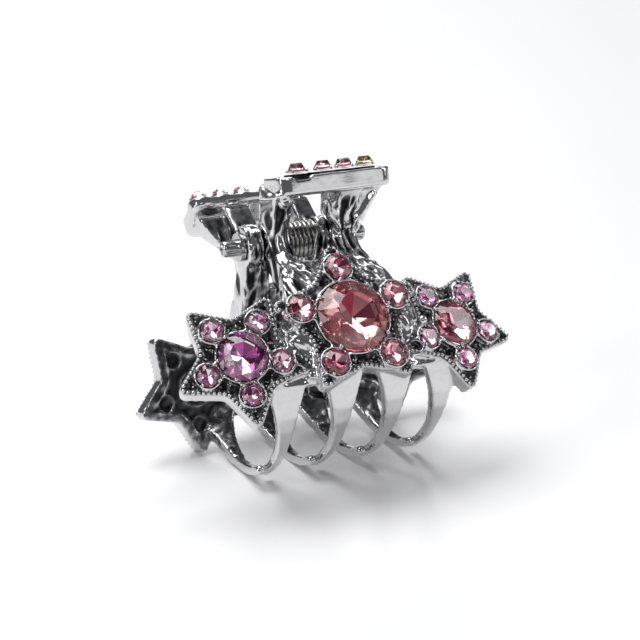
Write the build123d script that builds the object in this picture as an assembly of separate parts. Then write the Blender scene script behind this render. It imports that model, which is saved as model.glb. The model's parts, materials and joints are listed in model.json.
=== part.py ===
from build123d import *
import math
import os

# A small cast-metal hair claw: two identical jaws, one turned half round about
# the upright axis, share a hinge pin and are held shut by a torsion spring.
# Each jaw carries three five-pointed stars set with crystals, four curved teeth
# and a finger pad. Millimetres. The clip is drawn upright with the middle of its
# hinge pin at the origin, the front jaw towards -Y, and is then rolled back to
# the way it lies on a table.

# hinge
PIN_D = 1.9                # hinge pin
PIN_LENGTH = 17.6          # end to end
BORE_CLEARANCE = 0.05      # radial, where the front jaw turns on the pin
LUG_R = 2.4                # round ears that hold the pin
LUG_T = 1.8                # thickness of one ear
LUG_GAP = 0.2              # between an ear and its neighbour on the other jaw
INNER_LUG_X = 2.5          # inner face of each inner ear, from the middle
TURN_CLEARANCE = 0.35      # around the other jaw's ears and the spring
WASHER_R = 1.6
WASHER_T = 0.5

# spring
WIRE_D = 0.5
COIL_R = 1.9               # to the middle of the wire
COIL_TURNS = 8.5
COIL_PITCH = 0.54
ELBOW_R = 0.26             # rounding where the wire turns from the coil into an arm
ARM_LENGTH = 5.2
ARM_LEAN = 19              # of each arm, from straight down, outwards
ARM_SLANT = 28             # of each arm, along the clip

# stars
BIG_STAR_REACH = 11.6      # middle of the big star, out from the pin
BIG_STAR_DROP = 11.2       # and below it
SMALL_STAR_X = 12.55       # middle of each small star, along the clip
SMALL_STAR_BACK = 1.5        # the small stars stand back from the big one
SMALL_STAR_BELOW = 2.2       # and lower
SMALL_STAR_YAW = 9.6       # each small star faces a little outwards
STAR_TILT = 11.2           # the stars lean in at the top
BIG_TIP_R = 9.15             # before rounding
BIG_NOTCH_R = 5.5
SMALL_TIP_R = 8.1
SMALL_NOTCH_R = 4.5
SMALL_STAR_TURN = 1.2
STAR_T = 1.7               # thickness of a star plate
TIP_ROUND = 0.7            # rounding of each point
NOTCH_ROUND = 1.0          # and of each notch
WEB_T = 1.1                # plate that joins the stars behind
WEB_STEP = 0.5             # how far the web lies behind the star's face
BIG_WEB_BOTTOM = -5.6      # lower and upper edges of the web behind the big star
BIG_WEB_TOP = 2.2
SMALL_WEB_BOTTOM = -3.9    # and behind each small star
SMALL_WEB_TOP = 2.8
SMALL_WEB_INSIDE = 1.0     # how far it runs past a small star's middle
WEB_OVERLAP = 1.2          # overlap of neighbouring webs

# stones: widest diameters
BIG_STONE_D = 8.0
MEDIUM_STONE_D = 5.3
BIG_ACCENT_D = 2.9
SMALL_ACCENT_D = 2.4
PAD_STONE_D = 2.3
BIG_ACCENT_RING_R = 5.78   # accents of the big star
SMALL_ACCENT_RING_R = 4.21
SEAT_RISE = 0.8            # the stones' widest part, above the star's face
SEAT_WALL = 0.3            # collar around each stone
STONE_FIT = 0.03           # between a stone and its collar
SEAT_DEPTH = 0.24          # share of a stone's diameter that is sunk in its seat
CROWN = 0.2                # share of its diameter that stands above the seat
TABLE = 0.5                # flat top, as a share of the diameter
CULET = 0.45               # flat bottom, as a share of the diameter

# teeth
TEETH = 4
TOOTH_PITCH = 6.1
TOOTH_SHIFT = 0.65         # moves the row so that the two jaws' teeth pass
TOOTH_CENTRE_Y = 0.9       # middle of the elliptical sweep of the teeth
TOOTH_CENTRE_BELOW = 1.8   # and how far it is below the big star's middle
TOOTH_OVERHANG = 1.8       # how far the middle teeth bow out past the big star's middle
TOOTH_SWEEP_Z = 12.3       # upright half axis of that sweep
END_TOOTH_INSET = 1.2      # the end teeth start further in, under the small stars
TOOTH_START = 20           # where the sweep starts, degrees
TOOTH_STEPS = 9
TOOTH_ROOT_W = 4.4
TOOTH_TIP_W = 0.95
TOOTH_ROOT_T = 1.5
TOOTH_TIP_T = 0.95
BEAD_R = 0.58              # bead at the end of each tooth

# legs
OUTER_LEG_IN_X = 3.3       # inner face of the outer leg
INNER_LEG_IN_X = 1.8       # inner face of the inner leg
TRUNK_T = 1.5              # sheet that joins the two legs below the spring
TRUNK_FOOT_X = 6.8         # half width where the trunk meets the stars
TRUNK_FLARE = 1.0          # widening half way down
TRUNK_HEAD_DROP = 1.0      # top, middle and foot of the trunk's front, below the ears or above the star
TRUNK_WAIST_DROP = 3.4
TRUNK_FOOT_RISE = 2.0
TRUNK_SLOPE = 1.5          # the trunk's front stands this much further out than down
TRUNK_FOOT_SINK = 0.6      # into the big star's back
LEG_HEAD_INSET = 0.6       # the leg's outer edge starts this far in under the pad
LEG_NECK = 2.4             # outer edge, out from the ears' rim: above the pin
LEG_WAIST = 1.1            # at the pin
LEG_CALF = 1.8             # just below the ears
LEG_ANKLE = 3.7            # and above the star
LEG_NECK_DROP = 0.9        # neck and ankle heights, down from the ears' top and bottom
LEG_ANKLE_DROP = 1.9
LEG_FOOT_RISE = 2.9        # top and bottom of the foot, from the big star's middle
LEG_FOOT_DROP = 0.4
LEG_FOOT_SINK = 1.2
LEG_INSTEP = 2.0           # inner edge, out from the ears' rim: above the foot
LEG_INSTEP_DROP = 4.6
LEG_SHIN = 1.0             # inner edge, in from the ears' rim: below the pin
LEG_THIGH = 1.6            # and above it
GUSSET_FRONT_Y = 6.3       # the gusset's upper end, out from the pin
GUSSET_BACK_Y = 4.0
GUSSET_END_INSET = 0.6     # in from the end of the pad
GUSSET_FOOT_DROP = 0.6     # its lower end, below the pin
GUSSET_T = 1.2

# finger pad
PAD_LENGTH = 13.7
PAD_DEPTH = 6.0
PAD_T = 2.2
PAD_X = 3.15               # middle of the pad
PAD_REACH = 5.3
PAD_RISE = 5.0
PAD_TILT = 15              # its outer edge is lower
PAD_CORNER = 1.4
PAD_EDGE = 0.6
PAD_STONE_PITCH = 2.6
PAD_FIRST_GAP = 3.2        # the first stone stands a little apart
PAD_LAST_INSET = 1.35      # last stone, in from the pad's end
PAD_STONES = 4
PAD_SEAT_RISE = 0.9
PAD_STONE_IN = 1.4         # the row of stones, from the pad's middle towards the hinge

PIN_R = PIN_D / 2
INNER_LUG_OUT_X = INNER_LUG_X + LUG_T
OUTER_LUG_X = INNER_LUG_OUT_X + LUG_GAP
OUTER_LUG_OUT_X = OUTER_LUG_X + LUG_T


def along_x(radius, x_from, x_to):
    """A round bar on the hinge axis between two places along it."""
    middle = (x_from + x_to) / 2
    bar = Cylinder(radius, x_to - x_from, rotation=(0, 90, 0))
    return Pos(middle, 0, 0) * bar


def side_profile(outer, inner, x_from, x_to):
    """A flat blade from its outline in the Y-Z plane, between two X places."""
    outline = Spline(*[(0, y, z) for y, z in outer])
    back = Spline(*[(0, y, z) for y, z in inner])
    foot = Line(outline @ 1, back @ 0)
    head = Line(back @ 1, outline @ 0)
    face = make_face([outline, foot, back, head])
    thickness = x_to - x_from
    return Pos(x_from, 0, 0) * extrude(face, amount=thickness, dir=(1, 0, 0))


def star_frame(x, reach, drop, yaw):
    """Seat-level frame of a star: local X to the right, Y up its face, Z out of it."""
    facing_out = Rot(0, 0, yaw) * Rot(90 - STAR_TILT, 0, 0)
    return Pos(x, -reach, -drop) * facing_out


BIG_FRAME = star_frame(0, BIG_STAR_REACH, BIG_STAR_DROP, 0)
SMALL_STAR_REACH = BIG_STAR_REACH - SMALL_STAR_BACK
SMALL_STAR_DROP = BIG_STAR_DROP + SMALL_STAR_BELOW
LEFT_FRAME = star_frame(-SMALL_STAR_X, SMALL_STAR_REACH, SMALL_STAR_DROP, -SMALL_STAR_YAW)
RIGHT_FRAME = star_frame(SMALL_STAR_X, SMALL_STAR_REACH, SMALL_STAR_DROP, SMALL_STAR_YAW)
PAD_FRAME = Pos(PAD_X, -PAD_REACH, PAD_RISE) * Rot(PAD_TILT, 0, 0)


def star_plate(tip_r, notch_r, turn):
    """One star, its face SEAT_RISE below the seat level."""
    corners = []
    for k in range(10):
        angle = math.radians(turn + 36 * k)
        radius = tip_r if k % 2 == 0 else notch_r
        corners.append((radius * math.cos(angle), radius * math.sin(angle)))
    face = make_face(Polyline(*corners, close=True))
    middle_r = (tip_r + notch_r) / 2
    tips = [v for v in face.vertices() if v.center().length > middle_r]
    face = fillet(tips, TIP_ROUND)
    notches = [v for v in face.vertices() if v.center().length < notch_r + NOTCH_ROUND / 2]
    face = fillet(notches, NOTCH_ROUND)
    return Pos(0, 0, -SEAT_RISE - STAR_T) * extrude(face, amount=STAR_T)


def web(left, right, bottom, top):
    """Part of the plate behind the stars, in a star's own frame."""
    plate = Box(right - left, top - bottom, WEB_T)
    depth = SEAT_RISE + WEB_STEP + WEB_T / 2
    return Pos((left + right) / 2, (bottom + top) / 2, -depth) * plate


def stone(diameter):
    """A cut crystal: flat table, faceted crown, cone below, flat bottom."""
    sides = 12
    sunk = SEAT_DEPTH * diameter
    girdle = Plane.XY * RegularPolygon(diameter / 2, sides)
    table = Plane.XY.offset(CROWN * diameter) * RegularPolygon(TABLE * diameter / 2, sides)
    culet = Plane.XY.offset(-sunk) * RegularPolygon(CULET * diameter / 2, sides)
    crown = loft([girdle.face(), table.face()], ruled=True)
    pavilion = loft([culet.face(), girdle.face()], ruled=True)
    return crown + pavilion


def collar(diameter, rise):
    """Raised ring that grips a stone, from the plate up to just past its widest part."""
    height = rise + SEAT_WALL + 0.05
    return Pos(0, 0, -rise - SEAT_WALL + height / 2) * Cylinder(diameter / 2 + SEAT_WALL, height)


def pocket(diameter):
    """The hole that a stone sits in. Its floor carries the stone's flat bottom."""
    sunk = SEAT_DEPTH * diameter
    height = sunk + 1
    return Pos(0, 0, height / 2 - sunk) * Cylinder(diameter / 2 + STONE_FIT, height)


def ring_places(radius, turn):
    """Five places around a star, one in each point."""
    places = []
    for k in range(5):
        angle = math.radians(turn + 72 * k)
        places.append(Pos(radius * math.cos(angle), radius * math.sin(angle), 0))
    return places


def stone_seats():
    """Name, place, diameter and seat rise of each stone on one jaw."""
    seats = [("centre_stone", BIG_FRAME, BIG_STONE_D, SEAT_RISE)]
    for k, place in enumerate(ring_places(BIG_ACCENT_RING_R, 90)):
        seats.append((f"centre_accent_{k + 1}", BIG_FRAME * place, BIG_ACCENT_D, SEAT_RISE))
    sides = (("left", LEFT_FRAME, 270 + SMALL_STAR_TURN), ("right", RIGHT_FRAME, 270 - SMALL_STAR_TURN))
    for side, frame, turn in sides:
        seats.append((f"{side}_stone", frame, MEDIUM_STONE_D, SEAT_RISE))
        for k, place in enumerate(ring_places(SMALL_ACCENT_RING_R, turn)):
            seats.append((f"{side}_accent_{k + 1}", frame * place, SMALL_ACCENT_D, SEAT_RISE))
    for k in range(PAD_STONES):
        x = PAD_LENGTH / 2 - PAD_LAST_INSET - (PAD_STONES - 1 - k) * PAD_STONE_PITCH
        if k == 0:
            x -= PAD_FIRST_GAP - PAD_STONE_PITCH
        place = PAD_FRAME * Pos(x, PAD_STONE_IN, PAD_T / 2 + PAD_SEAT_RISE)
        seats.append((f"pad_stone_{k + 1}", place, PAD_STONE_D, PAD_SEAT_RISE))
    return seats


def tooth_point(angle, reach, inset):
    """Y and Z on an elliptical sweep that reaches so far out, moved inwards by inset."""
    y = TOOTH_CENTRE_Y - (reach - inset) * math.cos(angle)
    z = -BIG_STAR_DROP - TOOTH_CENTRE_BELOW - (TOOTH_SWEEP_Z - inset) * math.sin(angle)
    return y, z


def tooth(x):
    """One curved tooth, flared at its root, with a bead at its end."""
    at_an_end = abs(x) > SMALL_STAR_X / 2
    reach = BIG_STAR_REACH + TOOTH_OVERHANG - (END_TOOTH_INSET if at_an_end else 0)
    sections = []
    for k in range(TOOTH_STEPS):
        share = k / (TOOTH_STEPS - 1)
        angle = math.radians(TOOTH_START + (90 - TOOTH_START) * share)
        thin = TOOTH_TIP_T + (TOOTH_ROOT_T - TOOTH_TIP_T) * (1 - share)
        wide = TOOTH_TIP_W + (TOOTH_ROOT_W - TOOTH_TIP_W) * (1 - share) ** 3
        outer = tooth_point(angle, reach, 0)
        inner = tooth_point(angle, reach, thin)
        half = wide / 2
        corners = [(x - half, *outer), (x + half, *outer), (x + half, *inner), (x - half, *inner)]
        sections.append(make_face(Polyline(*corners, close=True)))
    blade = loft(sections, ruled=True)
    end = tooth_point(math.radians(90), reach, TOOTH_TIP_T / 2)
    return blade + Pos(x, *end) * Sphere(BEAD_R)


def tooth_places():
    first = -(TEETH - 1) / 2 * TOOTH_PITCH + TOOTH_SHIFT
    return [first + k * TOOTH_PITCH for k in range(TEETH)]


def pad():
    """The bar that a finger presses."""
    bar = Box(PAD_LENGTH, PAD_DEPTH, PAD_T)
    bar = fillet(bar.edges().filter_by(Axis.Z), PAD_CORNER)
    bar = fillet(bar.faces().sort_by(Axis.Z)[0].edges(), PAD_EDGE)
    return PAD_FRAME * bar


def leg(x_from, x_to):
    """A leg's side view: from the pad, past the pin, out to the stars."""
    pad_y = PAD_REACH + PAD_DEPTH / 2
    pad_z = PAD_RISE - PAD_T / 2
    star_y = BIG_STAR_REACH - STAR_T / 2
    outer = [
        (-pad_y + LEG_HEAD_INSET, pad_z - LEG_HEAD_INSET / 2),
        (-LUG_R - LEG_NECK, LUG_R - LEG_NECK_DROP),
        (-LUG_R - LEG_WAIST, 0),
        (-LUG_R - LEG_CALF, -LUG_R),
        (-LUG_R - LEG_ANKLE, -LUG_R - LEG_ANKLE_DROP),
        (-star_y, -BIG_STAR_DROP + LEG_FOOT_RISE),
    ]
    inner = [
        (-star_y + LEG_FOOT_SINK, -BIG_STAR_DROP - LEG_FOOT_DROP),
        (-LUG_R - LEG_INSTEP, -LUG_R - LEG_INSTEP_DROP),
        (-LUG_R + LEG_SHIN, -LUG_R - LEG_ANKLE_DROP),
        (0, -LUG_R),
        (-LUG_R + LEG_THIGH, LUG_R - LEG_NECK_DROP),
        (-pad_y + PAD_DEPTH - LEG_HEAD_INSET, pad_z + LEG_NECK_DROP),
    ]
    return side_profile(outer, inner, x_from, x_to)


def trunk():
    """The sheet between the legs, from below the spring to the stars."""
    head_z = -LUG_R - TRUNK_HEAD_DROP
    waist_z = -LUG_R - TRUNK_WAIST_DROP
    foot_y = -BIG_STAR_REACH + STAR_T / 2 + TRUNK_FOOT_SINK
    levels = (
        (INNER_LUG_OUT_X, OUTER_LUG_OUT_X, head_z - TRUNK_SLOPE, head_z),
        (INNER_LUG_OUT_X + TRUNK_FLARE, OUTER_LUG_OUT_X, waist_z - TRUNK_SLOPE, waist_z),
        (TRUNK_FOOT_X, TRUNK_FOOT_X, foot_y, -BIG_STAR_DROP + TRUNK_FOOT_RISE),
    )
    sections = []
    back = TRUNK_T / math.sqrt(2)
    for left, right, y, z in levels:
        front = (y, z)
        rear = (y + back, z - back)
        corners = [(-left, *front), (right, *front), (right, *rear), (-left, *rear)]
        sections.append(make_face(Polyline(*corners, close=True)))
    return loft(sections, ruled=True)


def gusset():
    """The flared bracket that carries the long end of the pad."""
    end_x = PAD_X + PAD_LENGTH / 2 - GUSSET_END_INSET
    top_z = PAD_RISE - PAD_T / 2
    top = [(OUTER_LEG_IN_X, -GUSSET_FRONT_Y, top_z - 0.2), (end_x, -GUSSET_FRONT_Y, top_z - 0.2)]
    top += [(end_x, -GUSSET_BACK_Y, top_z + 0.4), (OUTER_LEG_IN_X, -GUSSET_BACK_Y, top_z + 0.4)]
    front_y = -LUG_R - GUSSET_T
    left_x = OUTER_LUG_X - LUG_T / 3
    foot = [(left_x, front_y, -GUSSET_FOOT_DROP), (OUTER_LUG_OUT_X, front_y, -GUSSET_FOOT_DROP)]
    foot += [(OUTER_LUG_OUT_X, -LUG_R, -GUSSET_FOOT_DROP), (left_x, -LUG_R, -GUSSET_FOOT_DROP)]
    lower = make_face(Polyline(*foot, close=True))
    upper = make_face(Polyline(*top, close=True))
    return loft([lower, upper], ruled=True)


def jaw(bore_r):
    """One jaw casting, drawn as the front jaw, bored to take the pin."""
    body = pad() + leg(-INNER_LUG_OUT_X, -INNER_LEG_IN_X) + leg(OUTER_LEG_IN_X, OUTER_LUG_OUT_X)
    body += gusset()
    body += trunk()
    body -= along_x(LUG_R + TURN_CLEARANCE, -INNER_LUG_X, OUTER_LUG_X - LUG_GAP / 2)
    body += along_x(LUG_R, -INNER_LUG_OUT_X, -INNER_LUG_X)
    body += along_x(LUG_R, OUTER_LUG_X, OUTER_LUG_OUT_X)

    half = SMALL_STAR_X / 2
    body += BIG_FRAME * star_plate(BIG_TIP_R, BIG_NOTCH_R, 90)
    body += BIG_FRAME * web(-half, half, BIG_WEB_BOTTOM, BIG_WEB_TOP)
    body += LEFT_FRAME * star_plate(SMALL_TIP_R, SMALL_NOTCH_R, 270 + SMALL_STAR_TURN)
    body += RIGHT_FRAME * star_plate(SMALL_TIP_R, SMALL_NOTCH_R, 270 - SMALL_STAR_TURN)
    far = half + WEB_OVERLAP
    body += LEFT_FRAME * web(-SMALL_WEB_INSIDE, far, SMALL_WEB_BOTTOM, SMALL_WEB_TOP)
    body += RIGHT_FRAME * web(-far, SMALL_WEB_INSIDE, SMALL_WEB_BOTTOM, SMALL_WEB_TOP)
    for x in tooth_places():
        body += tooth(x)

    for _, place, diameter, rise in stone_seats():
        body += place * collar(diameter, rise)
    for _, place, diameter, _ in stone_seats():
        body -= place * pocket(diameter)
    body -= along_x(bore_r, -PIN_LENGTH, PIN_LENGTH)
    return body


def hinge_pin():
    """A plain pin with rounded ends."""
    pin = along_x(PIN_R, -PIN_LENGTH / 2, PIN_LENGTH / 2)
    return fillet(pin.edges(), PIN_R * 0.6)


def washer():
    """A ring pressed on to the pin beside the outermost ear."""
    x_inner = OUTER_LUG_OUT_X + LUG_GAP / 2
    ring = along_x(WASHER_R, x_inner, x_inner + WASHER_T)
    return ring - along_x(PIN_R, x_inner - 1, x_inner + WASHER_T + 1)


def spring_arm(x, side):
    """A straight arm from one end of the coil down the inside of a jaw."""
    start = Pos(x, side * COIL_R, 0)
    lean = Rot(side * ARM_LEAN, 0, 0) * Rot(0, -side * ARM_SLANT, 0)
    bar = Pos(0, 0, -ARM_LENGTH / 2) * Cylinder(WIRE_D / 2, ARM_LENGTH)
    return start * lean * bar + start * Sphere(ELBOW_R)


def spring():
    """Torsion spring around the pin, with one arm on each jaw."""
    length = COIL_TURNS * COIL_PITCH
    helix = Helix(COIL_PITCH, length, COIL_R)
    section = Plane(origin=helix @ 0, z_dir=helix % 0) * Circle(WIRE_D / 2)
    coil = sweep(section, path=helix)
    coil = Rot(90, 0, 0) * Pos(-length / 2, 0, 0) * Rot(0, 90, 0) * coil
    return coil + spring_arm(-length / 2, 1) + spring_arm(length / 2, -1)


def half_turn(shape):
    """The same piece on the other jaw."""
    return Rot(0, 0, 180) * shape


def lowest(shape, roll):
    """Height of a shape's lowest point once the clip is rolled back."""
    return (Rot(-roll, 0, 0) * shape).bounding_box().min.Z


def rest_roll():
    """The roll at which the rear stars and the rear teeth touch the table together."""
    star = half_turn(LEFT_FRAME * star_plate(SMALL_TIP_R, SMALL_NOTCH_R, 270 + SMALL_STAR_TURN))
    claw = half_turn(tooth(0))
    low, high = 5.0, 60.0
    for _ in range(40):
        roll = (low + high) / 2
        if lowest(star, roll) > lowest(claw, roll):
            low = roll
        else:
            high = roll
    return roll


def clip_parts():
    """Every piece by name, upright, with the hinge pin's middle at the origin."""
    parts = {
        "front_jaw": jaw(PIN_R + BORE_CLEARANCE),
        "rear_jaw": half_turn(jaw(PIN_R)),
        "hinge_pin": hinge_pin(),
        "torsion_spring": spring(),
        "pin_washer_right": washer(),
        "pin_washer_left": half_turn(washer()),
    }
    for name, place, diameter, _ in stone_seats():
        crystal = place * stone(diameter)
        parts[f"front_{name}"] = crystal
        parts[f"rear_{name}"] = half_turn(crystal)
    return parts


def lay_down(parts):
    """Rolls the clip back on to the table, with the origin below its middle."""
    roll = rest_roll()
    rolled = {name: Rot(-roll, 0, 0) * shape for name, shape in parts.items()}
    boxes = [shape.bounding_box() for shape in rolled.values()]
    middle_y = (min(b.min.Y for b in boxes) + max(b.max.Y for b in boxes)) / 2
    floor = min(b.min.Z for b in boxes)
    print(f"roll {roll:.3f} deg, hinge axis at Y {-middle_y:.4f}, Z {-floor:.4f}")
    return {name: Pos(0, -middle_y, -floor) * shape for name, shape in rolled.items()}


os.makedirs("parts", exist_ok=True)
for node, shape in lay_down(clip_parts()).items():
    export_step(shape, f"parts/{node}.step")
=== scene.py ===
import json
import math

import bpy
import numpy as np
from mathutils import Matrix, Vector, noise


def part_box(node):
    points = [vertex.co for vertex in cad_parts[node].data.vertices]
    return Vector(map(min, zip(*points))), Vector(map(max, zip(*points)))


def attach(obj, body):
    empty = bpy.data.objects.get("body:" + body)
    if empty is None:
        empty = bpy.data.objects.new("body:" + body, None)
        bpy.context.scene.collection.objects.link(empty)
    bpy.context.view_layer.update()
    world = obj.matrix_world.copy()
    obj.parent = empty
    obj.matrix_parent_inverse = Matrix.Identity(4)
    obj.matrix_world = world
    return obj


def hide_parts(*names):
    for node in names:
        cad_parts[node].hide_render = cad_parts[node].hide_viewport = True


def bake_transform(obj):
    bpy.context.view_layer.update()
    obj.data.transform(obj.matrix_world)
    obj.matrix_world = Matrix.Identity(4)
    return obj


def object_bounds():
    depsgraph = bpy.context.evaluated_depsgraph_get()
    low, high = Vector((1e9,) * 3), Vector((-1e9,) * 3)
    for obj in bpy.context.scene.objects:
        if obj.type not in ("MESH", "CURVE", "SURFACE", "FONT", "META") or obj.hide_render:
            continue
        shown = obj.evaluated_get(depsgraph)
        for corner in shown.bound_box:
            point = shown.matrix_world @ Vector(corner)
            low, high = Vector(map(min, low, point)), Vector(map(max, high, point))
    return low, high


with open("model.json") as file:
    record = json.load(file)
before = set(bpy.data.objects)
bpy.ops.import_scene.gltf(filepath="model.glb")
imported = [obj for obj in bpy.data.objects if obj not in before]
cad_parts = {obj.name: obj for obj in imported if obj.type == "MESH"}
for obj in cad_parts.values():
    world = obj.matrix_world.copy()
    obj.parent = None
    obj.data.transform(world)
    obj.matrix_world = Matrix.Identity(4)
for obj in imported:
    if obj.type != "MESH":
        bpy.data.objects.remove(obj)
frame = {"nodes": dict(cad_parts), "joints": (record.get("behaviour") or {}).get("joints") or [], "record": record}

CAD_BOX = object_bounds()
MM = 0.001

# the clip's own upright frame: hinge at the origin, front jaw towards -Y
BIG_TIP_R, BIG_NOTCH_R = 9.15, 5.5
SMALL_TIP_R, SMALL_NOTCH_R = 8.1, 4.5
TIP_ROUND, NOTCH_ROUND = 0.7, 1.0
FACE_DEPTH = 0.8           # star face below the stones' widest part
PLATE_T = 1.7
SMALL_STAR_TURN = 1.2
PAD_LENGTH, PAD_DEPTH, PAD_T = 13.7, 6.0, 2.2
PAD_CENTRE = (3.15, -5.3, 5.0)
PAD_TILT = 15
VOXEL = 0.18               # grid that the casting's skin is made on
WEB_LEVEL = -1.25          # webs between the stars, in the centre star's frame
MIDDLE_STONE_R = 3         # only the centre stone is bigger
SMALL_STONE_R = 2          # only the three star stones are bigger
FOIL_PAINTED_LIGHT_TURN = math.radians(215)   # the side of the centre stone's foil painted palest, as if the light fell from there
FOIL_PAINTED_LIGHT_SHARE = 0.45      # share of a centre stone facet's painted brightness that follows that lit side; the rest is by chance

# raised V below the long end of the pad, and the strap that runs from its short end down the leg
GUSSET_RIM = ((2.2, -5.9, 3.1), (2.5, -5.3, 2.1), (3.1, -4.7, 1.0), (4.0, -4.2, 0.15), (4.7, -4.0, -0.1),
              (5.5, -4.2, 0.2), (6.7, -4.8, 1.1), (7.7, -5.5, 2.3), (8.4, -6.0, 3.1))
GUSSET_FILL = ((2.9, -5.3, 3.1), (3.5, -4.4, 1.3), (4.4, -3.7, 0.3))
PAD_STRAP = ((-3.0, -6.9, 3.7), (-3.1, -5.6, 2.5), (-3.15, -4.4, 1.2), (-3.15, -3.5, 0.0),
             (-3.15, -3.4, -1.2), (-3.15, -3.8, -2.4), (-3.2, -4.9, -3.6))
PAD_STRAP_R = (0.95, 0.9, 0.85, 0.8, 0.8, 0.75, 0.6)
PAD_STONE_RIM = 0.15       # bezel round a pad stone, above the pad
PAD_STONE_SINK = 0.6       # a pad stone's widest part, below its CAD seat
PAD_DOME, PAD_BASE = 2.3, 0.22   # its crown is taller and its back flatter than a star stone's

# star faces: each pair is where a smooth step starts and ends, in millimetres or as a cosine
FACE_EDGE, FACE_TURN, FACE_REACH = (0.45, 0.75), (0.3, 0.7), (0.5, 0.9)
RIM_START, RIM_END, RIM_TURN = (-0.05, 0.1), (0.5, 0.7), (0.35, 0.8)
RIM_DARK = 0.8
BACK_EDGE, BACK_TURN, BACK_REACH = (0.9, 1.5), (0.5, 0.8), (0.3, 0.6)
BACK_HOLLOW, BACK_CREST = 0.35, (0.02, 0.18)
BACK_DARK, BACK_WORN = 0.80, 0.75
GRAIN_SCALE, GRAIN_HEIGHT = 2.6, 0.16
GRAIN_DARK, GRAIN_WORN = 0.88, 0.35

# bark on the legs and trunk
BARK_TOP, BARK_FOOT, BARK_SIDE = (2.2, 3.4), (-11.5, -9.0), (7.5, 9.0)
BARK_STONE_GAP = (0.3, 0.5)
RIDGE_STRETCH, FINE_STRETCH = (1.7, 0.5, 0.24), (2.2, 1.0, 0.5)
RIDGE_HEIGHT, RIDGE_LEVEL, FINE_HEIGHT = 0.24, 0.55, 0.08
GROOVE_LEVEL, GROOVE_FINE, GROOVE_FADE = 0.52, 0.25, (0.0, 0.35)

# finger pad, in its own frame
PAD_MARGIN, NEAR_PAD_MARGIN, PAD_ABOVE = 0.3, 0.4, 0.4
LIFT, LIFT_START, LIFT_UNDER, LIFT_END = 1.05, -1.2, (0.3, 2.0), (2.6, 4.6)
NOTCH, NOTCH_DEPTH, NOTCH_TOP = 0.5, (1.7, 2.2), (-0.1, 0.7)
NOTCH_LEFT, NOTCH_RIGHT = (-5.3, -4.9), (-3.3, -3.0)
TRAY, TRAY_EDGE, TRAY_BELOW, TRAY_STONE_GAP = 0.45, (0.55, 0.85), (0.5, 0.2), (0.28, 0.40)
PAD_DARK = 0.95

# the rest of the skin
INNER_TURN, TEETH_TOP = (0.25, 0.7), (-15.5, -14.0)
INNER_DARK, INNER_PATCHY, TEETH_ROUGH, WAVINESS = 0.55, 0.4, 0.08, 0.05
STONE_CLEAR = (0.02, 0.2)  # the skin stays put this near a stone
# painted shade in the hollows, like ambient occlusion: its gain, its range (below zero it lightens ridges) and how
# much less of it the pad's tray gets
HOLLOW_SHADE_GAIN, HOLLOW_SHADE_RANGE, TRAY_SHADE_CUT = 9.0, (-0.35, 0.8), 0.5
STONE_REACH, FAR = 2.2, 99.0

# beads, grains and claws
RIM_INSET, RIM_PITCH, RIM_R = 0.30, 0.5, 0.27
BEAD_INSET, BEAD_PITCH, BEAD_R, BEAD_RISE = 0.27, 0.54, (0.21, 0.25), 0.24
GRAIN_COUNT, GRAIN_INSET, GRAIN_STONE_GAP = 1300, 0.65, 0.35
GRAIN_R, GRAIN_RISE = (0.09, 0.15), 0.05
CLAW_OUT, CLAW_RISE, CLAW_R, CLAW_GROWTH = 0.06, 0.16, 0.15, 0.03

# pin and spring
PIN_DOME, PIN_END_SHARE = 0.5, 0.45
PIN_GROOVES, PIN_GROOVE = 6, 0.13
PIN_GROOVE_SIDE, PIN_GROOVE_START, PIN_GROOVE_END = (0.45, 0.8), (0.45, 0.6), (1.7, 1.9)

# camera, as the object is seen
CAMERA_AZIMUTH = -24.81
CAMERA_ELEVATION = 19.49
CAMERA_DISTANCE = 0.17615
CAMERA_LENS = 88.0
CAMERA_AIM = (0.001056, 0.000017, 0.015295)
SENSOR_WIDTH = 36

# studio, in metres and watts: name, place, size, power
FLOOR_REACH = 6.0
LIGHT_AIM = (0, 0, 0.015)
LIGHTS = (
    ("softbox_top", (-0.20, 0.44, 1.12), (1.05, 0.76), 14.0),
    ("softbox_left", (-0.58, -0.05, 0.26), (0.16, 0.40), 0.9),
    ("softbox_right", (0.52, -0.22, 0.30), (0.10, 0.45), 0.7),
    ("softbox_low", (0.27, -0.56, 0.10), (0.30, 0.17), 0.13),
    ("softbox_front", (-0.22, -0.58, 0.50), (0.30, 0.08), 0.5),
    ("softbox_back", (0.10, 0.60, 0.30), (0.60, 0.16), 1.0),
)
WORLD_COLOUR, WORLD_STRENGTH = (0.9, 0.92, 1.0, 1), 0.14


# ---------------------------------------------------------------- the clip's frame

def node_points(node):
    mesh = frame["nodes"][node].data
    points = np.empty(len(mesh.vertices) * 3)
    mesh.vertices.foreach_get("co", points)
    return points.reshape(-1, 3)


def clip_frame():
    """Matrix from the clip's upright frame, in millimetres, to the row frame in metres."""
    back = node_points("rear_centre_stone").mean(0) - node_points("front_centre_stone").mean(0)
    y_axis = Vector(back).normalized()
    x_axis = Vector((1, 0, 0))
    z_axis = x_axis.cross(y_axis)
    hinge = Vector(frame["joints"][0]["pos_m"])
    turn = Matrix((x_axis, y_axis, z_axis)).transposed().to_4x4()
    return Matrix.Translation(hinge) @ turn @ Matrix.Scale(MM, 4)


CLIP = clip_frame()
ROW = CLIP.inverted()
HALF_TURN = Matrix.Rotation(math.pi, 4, "Z")


def moved(points, matrix):
    """Points through a 4x4 matrix."""
    m = np.array(matrix)
    return points @ m[:3, :3].T + m[:3, 3]


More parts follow.
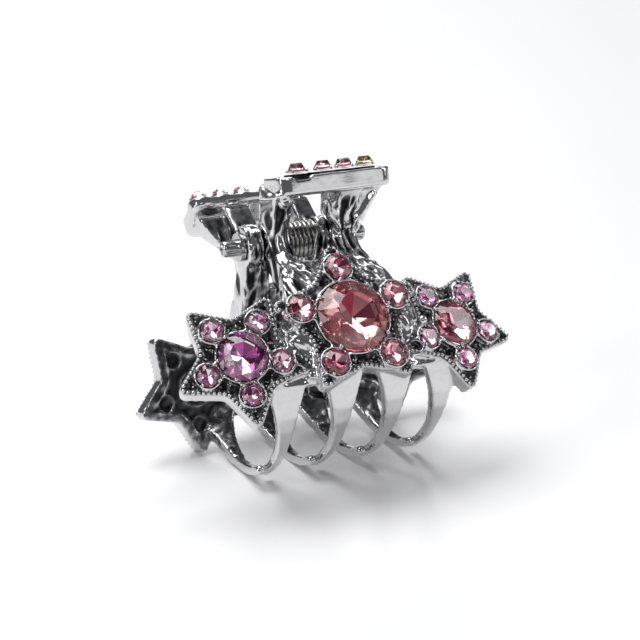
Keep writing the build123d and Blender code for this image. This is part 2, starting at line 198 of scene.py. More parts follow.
def seat_of(node):
    """Where a CAD stone sits, upright frame: middle, outward axis, radius."""
    points = np.unique(moved(node_points(node), ROW).round(4), axis=0)
    middle = points.mean(0)
    axis = np.linalg.svd(points - middle)[2][2]
    outward = np.array((0, -1 if node.startswith("front") else 1, 1.0))
    if axis @ outward < 0:
        axis = -axis
    along = (points - middle) @ axis
    across = np.linalg.norm(points - middle - np.outer(along, axis), axis=1)
    widest = across > 0.97 * across.max()
    return middle + axis * along[widest].mean(), axis, across.max()


def facing(middle, axis):
    """Frame with Z along the axis, X level along the clip, at the middle."""
    z_axis = Vector(axis)
    x_axis = Vector((0, 0, 1)).cross(z_axis).normalized()
    y_axis = z_axis.cross(x_axis)
    turn = Matrix((x_axis, y_axis, z_axis)).transposed().to_4x4()
    return Matrix.Translation(Vector(middle)) @ turn


PAD_FRAME = Matrix.Translation(PAD_CENTRE) @ Matrix.Rotation(math.radians(PAD_TILT), 4, "X")
PAD_UP = np.array(PAD_FRAME.to_3x3().col[2])
STONES = [n for n in frame["nodes"] if "stone" in n or "accent" in n]
SEATS = {n: seat_of(n) for n in STONES}


# ---------------------------------------------------------------- materials

def new_material(name):
    material = bpy.data.materials.new(name)
    material.use_nodes = True
    nodes = material.node_tree.nodes
    nodes.clear()
    out = nodes.new("ShaderNodeOutputMaterial")
    shader = nodes.new("ShaderNodeBsdfPrincipled")
    material.node_tree.links.new(shader.outputs[0], out.inputs[0])
    return material, material.node_tree, shader


def noise_node(tree, scale, detail=4.0, stretch=None):
    """3-D noise in object metres, so the grain keeps its real size."""
    where = tree.nodes.new("ShaderNodeTexCoord")
    texture = tree.nodes.new("ShaderNodeTexNoise")
    texture.inputs["Scale"].default_value = scale
    texture.inputs["Detail"].default_value = detail
    link = where.outputs["Object"]
    if stretch:
        mapping = tree.nodes.new("ShaderNodeMapping")
        mapping.inputs["Scale"].default_value = stretch
        tree.links.new(link, mapping.inputs["Vector"])
        link = mapping.outputs["Vector"]
    tree.links.new(link, texture.inputs["Vector"])
    return texture.outputs["Fac"]


def ramp(tree, value, stops):
    node = tree.nodes.new("ShaderNodeValToRGB")
    elements = node.color_ramp.elements
    while len(elements) < len(stops):
        elements.new(0.5)
    for element, (place, colour) in zip(elements, stops):
        element.position = place
        element.color = (*colour, 1)
    tree.links.new(value, node.inputs["Fac"])
    return node.outputs["Color"]


def math_node(tree, operation, first, second):
    node = tree.nodes.new("ShaderNodeMath")
    node.operation = operation
    for socket, value in zip(node.inputs, (first, second)):
        if isinstance(value, (int, float)):
            socket.default_value = value
        else:
            tree.links.new(value, socket)
    return node.outputs[0]


def map_range(tree, value, low, high):
    node = tree.nodes.new("ShaderNodeMapRange")
    node.inputs["To Min"].default_value = low
    node.inputs["To Max"].default_value = high
    tree.links.new(value, node.inputs["Value"])
    return node.outputs["Result"]


def bump(tree, shader, height, strength, distance):
    node = tree.nodes.new("ShaderNodeBump")
    node.inputs["Strength"].default_value = strength
    node.inputs["Distance"].default_value = distance
    tree.links.new(height, node.inputs["Height"])
    tree.links.new(node.outputs["Normal"], shader.inputs["Normal"])


def antique_silver():
    """Bright plated casting whose recesses are blackened and carry painted shade in their hollows, as the dark
    attribute says.
    """
    material, tree, shader = new_material("antique_silver")
    shader.inputs["Metallic"].default_value = 1.0
    dark = tree.nodes.new("ShaderNodeAttribute")
    dark.attribute_name = "dark"
    patchy = noise_node(tree, 1500, 5)
    fine = noise_node(tree, 6000, 3)
    spread = map_range(tree, patchy, -0.35, 0.35)
    level = math_node(tree, "ADD", dark.outputs["Fac"], math_node(tree, "MULTIPLY", spread, 0.55))
    colour = ramp(tree, level, (
        (0.0, (0.66, 0.655, 0.66)), (0.30, (0.50, 0.50, 0.51)),
        (0.62, (0.13, 0.13, 0.135)), (1.0, (0.015, 0.015, 0.017))))
    tree.links.new(colour, shader.inputs["Base Color"])
    tree.links.new(map_range(tree, level, 0.10, 0.42), shader.inputs["Roughness"])
    bump(tree, shader, fine, 0.25, 0.00003)
    return material


def bright_steel(name, colour, roughness, stretch):
    """Drawn or turned steel, with fine marks along the work."""
    material, tree, shader = new_material(name)
    shader.inputs["Metallic"].default_value = 1.0
    marks = noise_node(tree, 2500, 3, stretch)
    shade = tuple(0.45 * c for c in colour)
    tree.links.new(ramp(tree, marks, ((0.3, shade), (0.6, colour))), shader.inputs["Base Color"])
    tree.links.new(map_range(tree, marks, roughness * 0.6, roughness * 1.6), shader.inputs["Roughness"])
    bump(tree, shader, marks, 0.3, 0.00002)
    return material


def crystal_materials(name, light, deep):
    """Cut glass for the crown, and the coloured foil behind the stone, each foil facet with a painted reflection
    from dark to near white.
    """
    crown, tree, shader = new_material(f"{name}_glass")
    shader.inputs["Transmission Weight"].default_value = 1.0
    shader.inputs["IOR"].default_value = 1.56
    shader.inputs["Roughness"].default_value = 0.0
    pale = tuple(0.9 + 0.1 * c for c in light)
    tree.links.new(ramp(tree, noise_node(tree, 900, 2), ((0.3, pale), (0.7, (1, 1, 1)))),
                   shader.inputs["Base Color"])

    # painted reflections on the foil: a near-white glint and a dark facet colour, either side of the stone's own
    # tones
    painted_glint = tuple(0.78 + 0.22 * c for c in light)
    painted_dark_facet = tuple(0.35 * c for c in deep)
    foil, tree, shader = new_material(f"{name}_foil")
    shader.inputs["Metallic"].default_value = 0.8
    facet = tree.nodes.new("ShaderNodeAttribute")
    facet.attribute_name = "facet"
    painted_facet_shades = ((0.0, painted_dark_facet), (0.25, deep), (0.5, light), (0.8, light), (1.0, painted_glint))
    tree.links.new(ramp(tree, facet.outputs["Fac"], painted_facet_shades), shader.inputs["Base Color"])
    tree.links.new(map_range(tree, noise_node(tree, 4000, 2), 0.02, 0.10), shader.inputs["Roughness"])
    return crown, foil


def floor_material():
    material, tree, shader = new_material("studio_floor")
    shade = noise_node(tree, 3, 2)
    tree.links.new(ramp(tree, shade, ((0.3, (0.93, 0.93, 0.935)), (0.7, (0.95, 0.95, 0.95)))),
                   shader.inputs["Base Color"])
    shader.inputs["Roughness"].default_value = 0.35
    shader.inputs["Specular IOR Level"].default_value = 0.3
    return material


# ---------------------------------------------------------------- crystals

def brilliant():
    """A round brilliant of radius 1: points, faces, and how many faces are crown."""
    height, table_r, break_r, break_z = 0.40, 0.54, 0.80, 0.20
    edge, depth, pavilion_r, pavilion_z = 0.03, 0.46, 0.62, 0.22
    points, faces = [], []

    def ring(count, radius, z, start):
        first = len(points)
        for k in range(count):
            angle = math.tau * (k + start) / count
            points.append((radius * math.cos(angle), radius * math.sin(angle), z))
        return [first + k for k in range(count)]

    table = ring(8, table_r, height, 0)
    middle = ring(8, break_r, break_z, 0.5)
    upper = ring(16, 1.0, edge, 0)
    lower = ring(16, 1.0, -edge, 0)
    below = ring(8, pavilion_r, -pavilion_z, 0)
    culet = len(points)
    points.append((0, 0, -depth))
    faces.append(table)
    for k in range(8):
        after = (k + 1) % 8
        faces.append([table[k], middle[k], table[after]])
        faces.append([table[k], middle[k - 1], upper[2 * k], middle[k]])
        faces.append([middle[k], upper[2 * k], upper[2 * k + 1]])
        faces.append([middle[k], upper[2 * k + 1], upper[(2 * k + 2) % 16]])
    for k in range(16):
        after = (k + 1) % 16
        faces.append([upper[k], lower[k], lower[after], upper[after]])
    crown = len(faces)
    for k in range(8):
        after = (k + 1) % 8
        faces.append([below[k], lower[2 * k + 1], lower[2 * k]])
        faces.append([below[k], below[after], lower[2 * k + 1]])
        faces.append([below[after], lower[(2 * k + 2) % 16], lower[2 * k + 1]])
        faces.append([below[k], culet, below[after]])
    return np.array(points), faces, crown


def facet_turn(face, middle, axis):
    """Which way round its stone a facet lies: 0 to the right, a quarter turn up."""
    offset = facing(middle, axis).inverted() @ (ROW @ face.center)
    return math.atan2(offset.y, offset.x)


def cut_crystal(node, materials, random):
    """One faceted crystal in the seat of its CAD stone."""
    middle, axis, radius = SEATS[node]
    points, faces, crown = brilliant()
    if "pad_stone" in node:
        middle = middle - PAD_STONE_SINK * axis
        points[:, 2] *= np.where(points[:, 2] > 0, PAD_DOME, PAD_BASE)
    spin = Matrix.Rotation(random.uniform(0, math.tau), 4, "Z")
    place = CLIP @ facing(middle, axis) @ spin @ Matrix.Scale(radius, 4)
    mesh = bpy.data.meshes.new(f"{node}_cut")
    mesh.from_pydata(moved(points, place).tolist(), [], faces)
    for material in materials:
        mesh.materials.append(material)
    # each facet's value sets its painted reflection on the foil, from dark to near white, by chance; on the centre
    # stone one side is painted lighter, as if lit
    facet = mesh.attributes.new("facet", "FLOAT", "FACE")
    for k, face in enumerate(mesh.polygons):
        face.material_index = 0 if k < crown else 1
        painted_light = 0.5 + 0.42 * math.cos(facet_turn(face, middle, axis) - FOIL_PAINTED_LIGHT_TURN)
        share = random.uniform(0, 1)
        if radius > MIDDLE_STONE_R:
            share = FOIL_PAINTED_LIGHT_SHARE * painted_light + (1 - FOIL_PAINTED_LIGHT_SHARE) * share
        facet.data[k].value = share
    mesh.validate()
    crystal = bpy.data.objects.new(f"{node}_cut", mesh)
    bpy.context.collection.objects.link(crystal)
    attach(crystal, "front_half" if node.startswith("front") else "rear_half")
    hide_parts(node)
    return crystal


def slot_of(node):
    for part in frame["record"]["subparts"]:
        if part["node"] == node:
            return part["material_slot"]


CRYSTAL_COLOURS = {
    "peach_rose_crystal": ((1.0, 0.45, 0.47), (0.36, 0.03, 0.07)),
    "rose_crystal": ((1.0, 0.50, 0.60), (0.42, 0.06, 0.13)),
    "light_pink_crystal": ((1.0, 0.68, 0.82), (0.50, 0.16, 0.32)),
    "orchid_crystal": ((1.0, 0.58, 0.86), (0.46, 0.10, 0.34)),
    "amber_crystal": ((0.95, 0.86, 0.40), (0.38, 0.24, 0.08)),
}


def crystals():
    random = np.random.default_rng(7)
    made = {name: crystal_materials(name, *pair) for name, pair in CRYSTAL_COLOURS.items()}
    for node in STONES:
        slot = slot_of(node)
        cut_crystal(node, made[slot], random)


# ---------------------------------------------------------------- mesh helpers

def merge(parts):
    """Several (points, faces) pairs as one."""
    points, faces, first = [], [], 0
    for part_points, part_faces in parts:
        points.append(np.asarray(part_points, float))
        faces.extend([[first + i for i in face] for face in part_faces])
        first += len(part_points)
    return np.concatenate(points), faces


def ball(centre, radius, rings=6, sides=8):
    points = [(0, 0, radius)]
    for r in range(1, rings):
        polar = math.pi * r / rings
        for s in range(sides):
            turn = math.tau * s / sides
            points.append((radius * math.sin(polar) * math.cos(turn),
                           radius * math.sin(polar) * math.sin(turn), radius * math.cos(polar)))
    points.append((0, 0, -radius))
    faces = []
    for s in range(sides):
        after = (s + 1) % sides
        faces.append([0, 1 + s, 1 + after])
        for r in range(rings - 2):
            above, below = 1 + r * sides, 1 + (r + 1) * sides
            faces.append([above + s, below + s, below + after, above + after])
        last = 1 + (rings - 2) * sides
        faces.append([last + s, len(points) - 1, last + after])
    return np.array(points) + np.asarray(centre), faces


def tube(path, radii, closed=False, sides=8):
    """A round bar along a path, in the path's own frame."""
    path = np.asarray(path, float)
    count = len(path)
    radii = np.broadcast_to(radii, count)
    if closed:
        ahead = np.roll(path, -1, 0) - np.roll(path, 1, 0)
    else:
        ahead = np.gradient(path, axis=0)
    ahead /= np.linalg.norm(ahead, axis=1)[:, None]
    side = np.cross(ahead, (0.31, 0.77, 0.55))
    side /= np.linalg.norm(side, axis=1)[:, None]
    for k in range(1, count):
        side[k] = side[k - 1] - ahead[k] * (side[k - 1] @ ahead[k])
        side[k] /= np.linalg.norm(side[k])
    other = np.cross(ahead, side)
    angles = math.tau * np.arange(sides) / sides
    ring = side[:, None] * np.cos(angles)[:, None] + other[:, None] * np.sin(angles)[:, None]
    points = (path[:, None] + ring * radii[:, None, None]).reshape(-1, 3)
    faces = []
    for k in range(count if closed else count - 1):
        here, there = k * sides, ((k + 1) % count) * sides
        for s in range(sides):
            after = (s + 1) % sides
            faces.append([here + s, here + after, there + after, there + s])
    if not closed:
        faces.append(list(range(sides))[::-1])
        faces.append(list(range((count - 1) * sides, count * sides)))
    return points, faces


def new_object(name, points, faces, materials=()):
    mesh = bpy.data.meshes.new(name)
    mesh.from_pydata(np.asarray(points).tolist(), [], faces)
    for material in materials:
        mesh.materials.append(material)
    made = bpy.data.objects.new(name, mesh)
    bpy.context.collection.objects.link(made)
    return made


def remeshed(points, faces, voxel):
    """One even skin around overlapping closed shapes: a new mesh."""
    rough = new_object("rough", points, faces)
    change = rough.modifiers.new("skin", "REMESH")
    change.mode = "VOXEL"
    change.voxel_size = voxel
    change.adaptivity = 0
    skin = bpy.data.meshes.new_from_object(rough.evaluated_get(bpy.context.evaluated_depsgraph_get()))
    bpy.data.objects.remove(rough)
    return skin


def read_mesh(mesh):
    count = len(mesh.vertices)
    points = np.empty(count * 3)
    mesh.vertices.foreach_get("co", points)
    edges = np.empty(len(mesh.edges) * 2, int)
    mesh.edges.foreach_get("vertices", edges)
    return points.reshape(-1, 3), edges.reshape(-1, 2)


def normals_of(mesh, points):
    mesh.vertices.foreach_set("co", points.ravel())
    mesh.update()
    normals = np.empty(len(points) * 3)
    mesh.vertex_normals.foreach_get("vector", normals)
    return normals.reshape(-1, 3)


def spread_over(edges, values, times):
    """Averages a per-vertex value or vector with its neighbours."""
    count = len(values)
    ends = np.concatenate((edges[:, 0], edges[:, 1]))
    others = np.concatenate((edges[:, 1], edges[:, 0]))
    share = np.maximum(np.bincount(ends, minlength=count), 1)
    table = values.reshape(count, -1)
    for _ in range(times):
        sums = np.stack([np.bincount(ends, table[others, k], minlength=count)
                         for k in range(table.shape[1])], 1)
        table = 0.5 * table + 0.5 * sums / share[:, None]
    return table.reshape(values.shape)


def in_the_box(points):
    """Points in the row frame, kept inside the CAD model's own box."""
    return np.clip(points, np.array(CAD_BOX[0]), np.array(CAD_BOX[1]))


def moved_part(part, matrix):
    return moved(part[0], matrix), part[1]


def seats_of(jaw):
    return {n: s for n, s in SEATS.items() if n.startswith(jaw)}


def smooth_step(values, low, high):
    t = np.clip((values - low) / (high - low), 0, 1)
    return t * t * (3 - 2 * t)


def noise_at(points, scale, offset=0.0):
    """Perlin noise from -1 to 1 at each point; scale is features per millimetre."""
    at = np.asarray(points) * scale + offset
    return np.array([noise.noise(Vector(p)) for p in at])


# ---------------------------------------------------------------- the jaw casting

def ridged(points):
    """Bark-like ridges: 1 on a crest, 0 in a groove."""
    return 1 - np.minimum(1, 2.2 * np.abs(noise_at(points, 1.0, 5.0)))


def cad_solid(node):
    mesh = frame["nodes"][node].data
    return moved(node_points(node), ROW), [list(face.vertices) for face in mesh.polygons]


STARS = {
    "centre": (BIG_TIP_R, BIG_NOTCH_R, 90),
    "left": (SMALL_TIP_R, SMALL_NOTCH_R, 270 + SMALL_STAR_TURN),
    "right": (SMALL_TIP_R, SMALL_NOTCH_R, 270 - SMALL_STAR_TURN),
}
STAR_FRAMES = {s: facing(*SEATS[f"front_{s}_stone"][:2]) for s in STARS}


def star_outline(star, inset=0.0):
    """A star's outline, moved inwards, with rounded points and notches."""
    tip_r, notch_r, turn = STARS[star]
    corners = []
    for k in range(10):
        angle = math.radians(turn + 36 * k)
        radius = tip_r if k % 2 == 0 else notch_r
        corners.append(np.array((radius * math.cos(angle), radius * math.sin(angle))))
    outline = []
    for k, corner in enumerate(corners):
        is_tip = k % 2 == 0
        back = corners[k - 1] - corner
        ahead = corners[(k + 1) % 10] - corner
        back, ahead = back / np.linalg.norm(back), ahead / np.linalg.norm(ahead)
        middle = (back + ahead) / np.linalg.norm(back + ahead)
        half = math.acos(float(back @ middle))
        rounding = TIP_ROUND if is_tip else NOTCH_ROUND
        centre = corner + middle * rounding / math.sin(half)
        radius = max(rounding + (-inset if is_tip else inset), 0.15)
        sweep = math.pi / 2 - half
        start = math.atan2(-middle[1], -middle[0])
        turns = np.linspace(-sweep, sweep, 7) * (1 if is_tip else -1)
        for angle in start + turns:
            outline.append(centre + radius * np.array((math.cos(angle), math.sin(angle))))
    return np.array(outline)


def inside_by(places, corners):
    """How far places in a plane are inside an outline, negative outside."""
    start, end = corners, np.roll(corners, -1, 0)
    run = end - start
    offset = places[:, None] - start
    share = np.clip((offset * run).sum(2) / (run * run).sum(1), 0, 1)
    gap = np.linalg.norm(offset - share[..., None] * run, axis=2).min(1)
    x, y = places[:, :1], places[:, 1:]
    spans = (start[:, 1] > y) != (end[:, 1] > y)
    rise = np.where(run[:, 1] == 0, 1e-9, run[:, 1])
    left_of = x < start[:, 0] + (y - start[:, 1]) * run[:, 0] / rise
    inside = (spans & left_of).sum(1) % 2 == 1
    return np.where(inside, gap, -gap)


def along_outline(corners, pitch):
    """Places at an even pitch around an outline."""
    loop = np.vstack((corners, corners[:1]))
    lengths = np.concatenate(([0], np.cumsum(np.linalg.norm(np.diff(loop, axis=0), axis=1))))
    count = round(lengths[-1] / pitch)
    at = np.arange(count) * lengths[-1] / count
    return np.column_stack([np.interp(at, lengths, loop[:, k]) for k in (0, 1)])


def on_face(places, level):
    return np.column_stack((places, np.full(len(places), level)))


def arc(centre, across, up, turns, level, lean=0.0):
    """Places along part of a leaning ellipse on a star's face."""
    turns = np.asarray(turns, float)
    x, y = across * np.cos(turns), up * np.sin(turns)
    cosine, sine = math.cos(lean), math.sin(lean)
    return np.column_stack((centre[0] + x * cosine - y * sine, centre[1] + x * sine + y * cosine,
                            np.full(len(turns), level)))


def cabochon(centre, across, up, level, height, lean=0.0):
    """A smooth oval boss."""
    points, faces = ball((0, 0, 0), 1.0, 10, 16)
    points = points * (across, up, height)
    cosine, sine = math.cos(lean), math.sin(lean)
    turned = np.column_stack((points[:, 0] * cosine - points[:, 1] * sine,
                              points[:, 0] * sine + points[:, 1] * cosine, points[:, 2]))
    return turned + (*centre, level), faces


def openwork():
    """Bosses, rings and curls on the webs between the stars, in the big star's frame."""
    full = np.linspace(0, math.tau, 24, endpoint=False)
    return [
        cabochon((-6.05, -1.5), 1.25, 0.85, WEB_LEVEL, 0.62, -0.6),
        tube(arc((-6.05, -1.5), 1.75, 1.3, full, WEB_LEVEL, -0.6), 0.2, closed=True),
        tube(arc((-6.2, -1.0), 2.6, 1.9, np.linspace(-1.2, 1.9, 16), WEB_LEVEL, -0.5), 0.22),
        tube(arc((-5.6, -2.6), 2.2, 1.9, np.linspace(3.4, 5.9, 12), WEB_LEVEL, -0.4), 0.2),
        tube(arc((-4.55, -6.1), 0.55, 0.55, np.linspace(0.6, 5.2, 12), -FACE_DEPTH, 0.3), 0.19),
        cabochon((6.1, -1.05), 0.6, 1.15, WEB_LEVEL + 0.1, 0.6, 0.15),
        tube(arc((6.1, -1.05), 0.95, 1.5, full, WEB_LEVEL, 0.15), 0.18, closed=True),
        cabochon((8.35, -1.25), 0.6, 0.6, WEB_LEVEL + 0.1, 0.6),
        tube(arc((7.2, 1.9), 1.1, 0.9, np.linspace(0.5, 5.0, 12), WEB_LEVEL, 0.0), 0.2),
        tube(arc((6.6, -4.1), 1.0, 0.8, np.linspace(1.2, 5.8, 12), WEB_LEVEL, 0.0), 0.2),
    ]


def jaw_extras():
    """Rims, pits, straps and curls that the casting carries, front jaw, upright."""
    parts = []
    for star, frame_of in STAR_FRAMES.items():
        rim = along_outline(star_outline(star, RIM_INSET), RIM_PITCH)
        parts.append(moved_part(tube(on_face(rim, -FACE_DEPTH), RIM_R, closed=True), frame_of))
    for middle, axis, radius in seats_of("front").values():
        place = facing(middle, axis)
        if middle[2] < 0:
            full = np.linspace(0, math.tau, 20, endpoint=False)
            ring = arc((0, 0), radius * 0.8, radius * 0.8, full, -FACE_DEPTH - PLATE_T + 0.05)
            parts.append(moved_part(tube(ring, 0.26, closed=True), place))
    parts += [moved_part(part, STAR_FRAMES["centre"]) for part in openwork()]
    parts.append(tube(GUSSET_RIM, 0.36))
    parts.append(tube(GUSSET_FILL, 0.62))
    parts.append(tube(PAD_STRAP, PAD_STRAP_R))
    return parts


def stone_gap(points):
    """Distance from each point to the nearest stone's rim, across its axis, front jaw."""
    nearest = np.full(len(points), FAR)
    for middle, axis, radius in seats_of("front").values():
        offset = points - middle
        along = offset @ axis
        across = np.linalg.norm(offset - np.outer(along, axis), axis=1) - radius
        nearest = np.minimum(nearest, np.where(np.abs(along) < STONE_REACH, across, FAR))
    return nearest


def star_surface(points, normals):
    """How far each point is on a star's face, its push outwards and its dark."""
    face_share, push, dark = np.zeros((3, len(points)))
    for star, frame_of in STAR_FRAMES.items():
        local = moved(points, frame_of.inverted())
        inside = inside_by(local[:, :2], star_outline(star))
        outward = normals @ np.array(frame_of.to_3x3().col[2])
        level = np.abs(local[:, 2] + FACE_DEPTH)
        back_level = np.abs(local[:, 2] + FACE_DEPTH + PLATE_T)
        near_face = 1 - smooth_step(level, *FACE_REACH)
        share = smooth_step(inside, *FACE_EDGE) * smooth_step(outward, *FACE_TURN) * near_face
        face_share = np.maximum(face_share, share)
        behind = (smooth_step(inside, *BACK_EDGE) * smooth_step(-outward, *BACK_TURN)
                  * (1 - smooth_step(back_level, *BACK_REACH)))
        push -= BACK_HOLLOW * behind
        crest = smooth_step(-local[:, 2] - FACE_DEPTH - PLATE_T, *BACK_CREST)
        dark = np.maximum(dark, (BACK_DARK - BACK_WORN * crest) * behind)
        rim_top = (smooth_step(inside, *RIM_START) * (1 - smooth_step(inside, *RIM_END))
                   * smooth_step(outward, *RIM_TURN) * near_face)
        dark = np.maximum(dark, RIM_DARK * rim_top)
    grain = noise_at(points, GRAIN_SCALE)
    push += face_share * GRAIN_HEIGHT * grain
    return face_share, push, np.maximum(dark, face_share * (GRAIN_DARK - GRAIN_WORN * grain))


def bark_surface(points, share):
    """Push and dark of the ridges on the legs and trunk; the share is 0 where there are none."""
    share = share * (1 - smooth_step(points[:, 2], *BARK_TOP)) * smooth_step(points[:, 2], *BARK_FOOT)
    share *= 1 - smooth_step(np.abs(points[:, 0]), *BARK_SIDE)
    grooves = ridged(points * RIDGE_STRETCH)
    fine = noise_at(points * FINE_STRETCH, 1.0, 7.0)
    push = share * (RIDGE_HEIGHT * (grooves - RIDGE_LEVEL) + FINE_HEIGHT * fine)
    return push, share * smooth_step(GROOVE_LEVEL - grooves - GROOVE_FINE * fine, *GROOVE_FADE)


def shaped_pad(points, normals, pad, on_pad):
    """Points with the pad's collars lowered, its inner edge thinned and its notch cut, and the dark."""
    above = np.maximum(pad[:, 2] - PAD_T / 2 - PAD_STONE_RIM, 0) * (points[:, 2] > 0)
    points = points - np.outer(above, PAD_UP)
    near_pad = ((np.abs(pad[:, 0]) < PAD_LENGTH / 2 + NEAR_PAD_MARGIN)
                & (np.abs(pad[:, 1]) < PAD_DEPTH / 2 + NEAR_PAD_MARGIN))
    below = PAD_T / 2 - pad[:, 2]
    lift = (near_pad * smooth_step(pad[:, 1], LIFT_START, PAD_DEPTH / 2)
            * smooth_step(below, *LIFT_UNDER) * (1 - smooth_step(below, *LIFT_END)))
    notch = (on_pad * smooth_step(-pad[:, 1], *NOTCH_DEPTH) * smooth_step(pad[:, 2], *NOTCH_TOP)
             * smooth_step(pad[:, 0], *NOTCH_LEFT) * (1 - smooth_step(pad[:, 0], *NOTCH_RIGHT)))
    dark = PAD_DARK * notch * smooth_step(normals @ PAD_UP, 0.0, 0.5)
    return points + np.outer(LIFT * lift - NOTCH * notch, PAD_UP), dark


def pad_tray(pad, on_pad, to_stone):
    """How far each point is in the sunk tray that the pad stones stand in."""
    to_edge = np.minimum(PAD_LENGTH / 2 - np.abs(pad[:, 0]), PAD_DEPTH / 2 - np.abs(pad[:, 1]))
    low, high = TRAY_BELOW
    return (smooth_step(to_edge, *TRAY_EDGE) * smooth_step(pad[:, 2], PAD_T / 2 - low, PAD_T / 2 - high)
            * smooth_step(to_stone, *TRAY_STONE_GAP)) * on_pad


def sculpted_jaw():
    """The front jaw's mesh, its worked points and how dark each one is, upright."""
    mesh = remeshed(*merge([cad_solid("front_jaw")] + jaw_extras()), VOXEL)
    points, edges = read_mesh(mesh)
    points = spread_over(edges, points, 2)
    normals = normals_of(mesh, points)
    to_stone = stone_gap(points)
    face_share, push, dark = star_surface(points, normals)

    pad = moved(points, PAD_FRAME.inverted())
    on_pad = ((np.abs(pad[:, 0]) < PAD_LENGTH / 2 + PAD_MARGIN)
              & (np.abs(pad[:, 1]) < PAD_DEPTH / 2 + PAD_MARGIN)
              & (np.abs(pad[:, 2]) < PAD_T / 2 + PAD_ABOVE))
    free = (1 - face_share) * ~on_pad * smooth_step(to_stone, *BARK_STONE_GAP)
    bark_push, bark_dark = bark_surface(points, free)
    push += bark_push
    dark = np.maximum(dark, bark_dark)

    points, notch_dark = shaped_pad(points, normals, pad, on_pad)
    tray = pad_tray(pad, on_pad, to_stone)
    push -= TRAY * tray
    dark = np.maximum(np.maximum(dark, notch_dark), PAD_DARK * tray)

    inner = smooth_step(normals[:, 1] * np.sign(-points[:, 1] - 0.01), *INNER_TURN)
    teeth = 1 - smooth_step(points[:, 2], *TEETH_TOP)
    rough = noise_at(points, 1.5, 3.0)
    dark = np.maximum(dark, inner * (INNER_DARK + INNER_PATCHY * rough) * ~on_pad)
    push += inner * teeth * TEETH_ROUGH * rough
    push += WAVINESS * noise_at(points, 0.45, 11.0)
    push *= smooth_step(to_stone, *STONE_CLEAR)

    points = spread_over(edges, points + normals * push[:, None], 1)
    normals = normals_of(mesh, points)
    # painted shade: hollows darkened like ambient occlusion and ridges painted lighter, less so in the pad's tray
    hollow_shade = ((spread_over(edges, points, 3) - points) * normals).sum(1)
    hollow_shade = spread_over(edges, hollow_shade, 2)
    dark += np.clip(hollow_shade * HOLLOW_SHADE_GAIN, *HOLLOW_SHADE_RANGE) * (1 - TRAY_SHADE_CUT * tray)
    return mesh, points, np.clip(dark, 0, 1)


def place_jaw(name, mesh, points, dark, matrix, body, node):
    """A copy of the sculpted casting in the row frame."""
    copy = mesh.copy()
    copy.vertices.foreach_set("co", in_the_box(moved(points, matrix)).ravel())
    attribute = copy.attributes.new("dark", "FLOAT", "POINT")
    attribute.data.foreach_set("value", dark.astype(np.float32))
    for face in copy.polygons:
        face.use_smooth = True
    copy.materials.clear()
    copy.materials.append(SILVER)
    casting = bpy.data.objects.new(name, copy)
    bpy.context.collection.objects.link(casting)
    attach(casting, body)
    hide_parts(node)


def beadwork():
    """Milgrain beads, claws and grains of one jaw, upright."""
    random = np.random.default_rng(3)
    beads = []
    for star, frame_of in STAR_FRAMES.items():
        for place in along_outline(star_outline(star, BEAD_INSET), BEAD_PITCH):
            size = random.uniform(*BEAD_R)
            beads.append((frame_of, (*place, -FACE_DEPTH + BEAD_RISE), size))
        outline = star_outline(star)
        tip_r = STARS[star][0]
        places = random.uniform(-tip_r, tip_r, (GRAIN_COUNT, 2))
        places = places[inside_by(places, outline) > GRAIN_INSET]
        world = moved(on_face(places, -FACE_DEPTH), frame_of)
        for place, gap in zip(places, stone_gap(world)):
            if gap > GRAIN_STONE_GAP:
                beads.append((frame_of, (*place, -FACE_DEPTH + GRAIN_RISE), random.uniform(*GRAIN_R)))
    for middle, axis, radius in seats_of("front").values():
        claws = 8 if radius > MIDDLE_STONE_R else 6 if radius > SMALL_STONE_R else 4
        start = random.uniform(0, math.tau)
        for k in range(claws):
            angle = start + math.tau * k / claws
            reach = radius + CLAW_OUT
            level = CLAW_RISE + CLAW_GROWTH * radius - (PAD_STONE_SINK if middle[2] > 0 else 0)
            place = (reach * math.cos(angle), reach * math.sin(angle), level)
            beads.append((facing(middle, axis), place, CLAW_R + CLAW_GROWTH * radius))
    return merge([moved_part(ball(place, size, 5, 7), where) for where, place, size in beads])


def turned_pin():
    """The hinge pin with grooved, domed ends."""
    low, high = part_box("hinge_pin")
    length, radius = (high.x - low.x) / MM, (high.z - low.z) / MM / 2
    stations = np.concatenate((np.linspace(0, 0.5, 7), np.linspace(0.7, 2.2, 9), (3.0, length / 2)))
    stations = np.concatenate((stations, length - stations[-2::-1]))
    sides = 48
    turns = math.tau * np.arange(sides) / sides
    groove = PIN_GROOVE * smooth_step(np.cos(PIN_GROOVES * turns), *PIN_GROOVE_SIDE)
    points = []
    for at in stations:
        end = min(at, length - at)
        dome = math.sqrt(max(0.0, 1 - (1 - min(end, PIN_DOME) / PIN_DOME) ** 2))
        grooved = smooth_step(end, *PIN_GROOVE_START) * (1 - smooth_step(end, *PIN_GROOVE_END))
        reach = radius * (PIN_END_SHARE + (1 - PIN_END_SHARE) * dome) - groove * float(grooved)
        points += [(at - length / 2, r * math.cos(t), r * math.sin(t)) for r, t in zip(reach, turns)]
    faces = []
    for k in range(len(stations) - 1):
        for s in range(sides):
            after = (s + 1) % sides
            faces.append([k * sides + s, k * sides + after, (k + 1) * sides + after, (k + 1) * sides + s])
    faces.append(list(range(sides)))
    faces.append(list(range((len(stations) - 1) * sides, len(stations) * sides))[::-1])
    pin = new_object("turned_pin", moved(np.array(points), CLIP), faces, [STEEL])
    pin.data.shade_smooth()
    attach(pin, "rear_half")
    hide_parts("hinge_pin")


def wound_spring():
    """The torsion spring, made from the CAD coil and shaded smooth."""
    coil = new_object("wound_spring", *cad_solid("torsion_spring"), [SPRING_STEEL])
    coil.data.transform(CLIP)
    coil.data.shade_smooth()
    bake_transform(coil)
    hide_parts("torsion_spring")


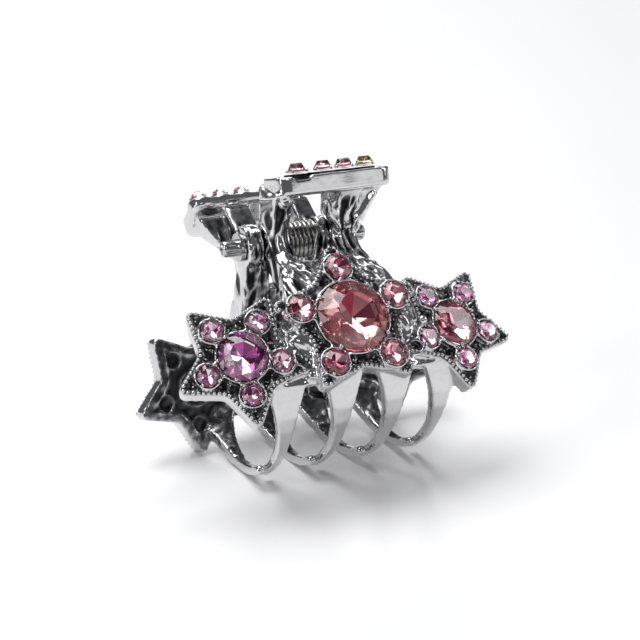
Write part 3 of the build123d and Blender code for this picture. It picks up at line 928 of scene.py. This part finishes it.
def hinge():
    turned_pin()
    wound_spring()
    for node in ("pin_washer_left", "pin_washer_right"):
        washer = frame["nodes"][node].data
        washer.materials.clear()
        washer.materials.append(STEEL)


def jaws():
    mesh, points, dark = sculpted_jaw()
    beads, faces = beadwork()
    for jaw, turn in (("front", Matrix.Identity(4)), ("rear", HALF_TURN)):
        place_jaw(f"{jaw}_casting", mesh, points, dark, CLIP @ turn, f"{jaw}_half", f"{jaw}_jaw")
        piece = new_object(f"{jaw}_beadwork", in_the_box(moved(beads, CLIP @ turn)), faces, [BEAD_SILVER])
        piece.data.shade_smooth()
        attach(piece, f"{jaw}_half")


# ---------------------------------------------------------------- studio

def area_light(name, place, size, power):
    light = bpy.data.lights.new(name, "AREA")
    light.shape = "RECTANGLE"
    light.size, light.size_y = size
    light.energy = power
    lamp = bpy.data.objects.new(name, light)
    lamp.location = place
    aim = Vector(LIGHT_AIM) - Vector(place)
    lamp.rotation_euler = aim.to_track_quat("-Z", "Y").to_euler()
    bpy.context.collection.objects.link(lamp)


def studio():
    mesh = bpy.data.meshes.new("studio_floor")
    reach = FLOOR_REACH
    mesh.from_pydata([(-reach, -reach, 0), (reach, -reach, 0), (reach, reach, 0), (-reach, reach, 0)],
                     [], [(0, 1, 2, 3)])
    mesh.materials.append(floor_material())
    floor = bpy.data.objects.new("studio_floor", mesh)
    bpy.context.collection.objects.link(floor)

    for light in LIGHTS:
        area_light(*light)

    world = bpy.data.worlds.new("studio")
    bpy.context.scene.world = world
    world.use_nodes = True
    background = world.node_tree.nodes["Background"]
    background.inputs["Color"].default_value = WORLD_COLOUR
    background.inputs["Strength"].default_value = WORLD_STRENGTH
    bpy.context.scene.view_settings.view_transform = "Standard"


def camera():
    data = bpy.data.cameras.new("camera")
    data.lens = CAMERA_LENS
    data.sensor_width = SENSOR_WIDTH
    data.clip_start = 0.01
    eye = bpy.data.objects.new("camera", data)
    azimuth, elevation = math.radians(CAMERA_AZIMUTH), math.radians(CAMERA_ELEVATION)
    forward = Vector((-math.sin(azimuth) * math.cos(elevation),
                      math.cos(azimuth) * math.cos(elevation), -math.sin(elevation)))
    eye.location = Vector(CAMERA_AIM) - forward * CAMERA_DISTANCE
    eye.rotation_euler = forward.to_track_quat("-Z", "Y").to_euler()
    bpy.context.collection.objects.link(eye)
    bpy.context.scene.camera = eye


SILVER = antique_silver()
BEAD_SILVER = bright_steel("bead_silver", (0.70, 0.70, 0.71), 0.15, (1, 1, 1))
STEEL = bright_steel("steel", (0.62, 0.62, 0.63), 0.2, (0.3, 3, 3))
SPRING_STEEL = bright_steel("spring_steel", (0.50, 0.49, 0.48), 0.22, (1, 1, 1))
camera()
studio()
crystals()
jaws()
hinge()
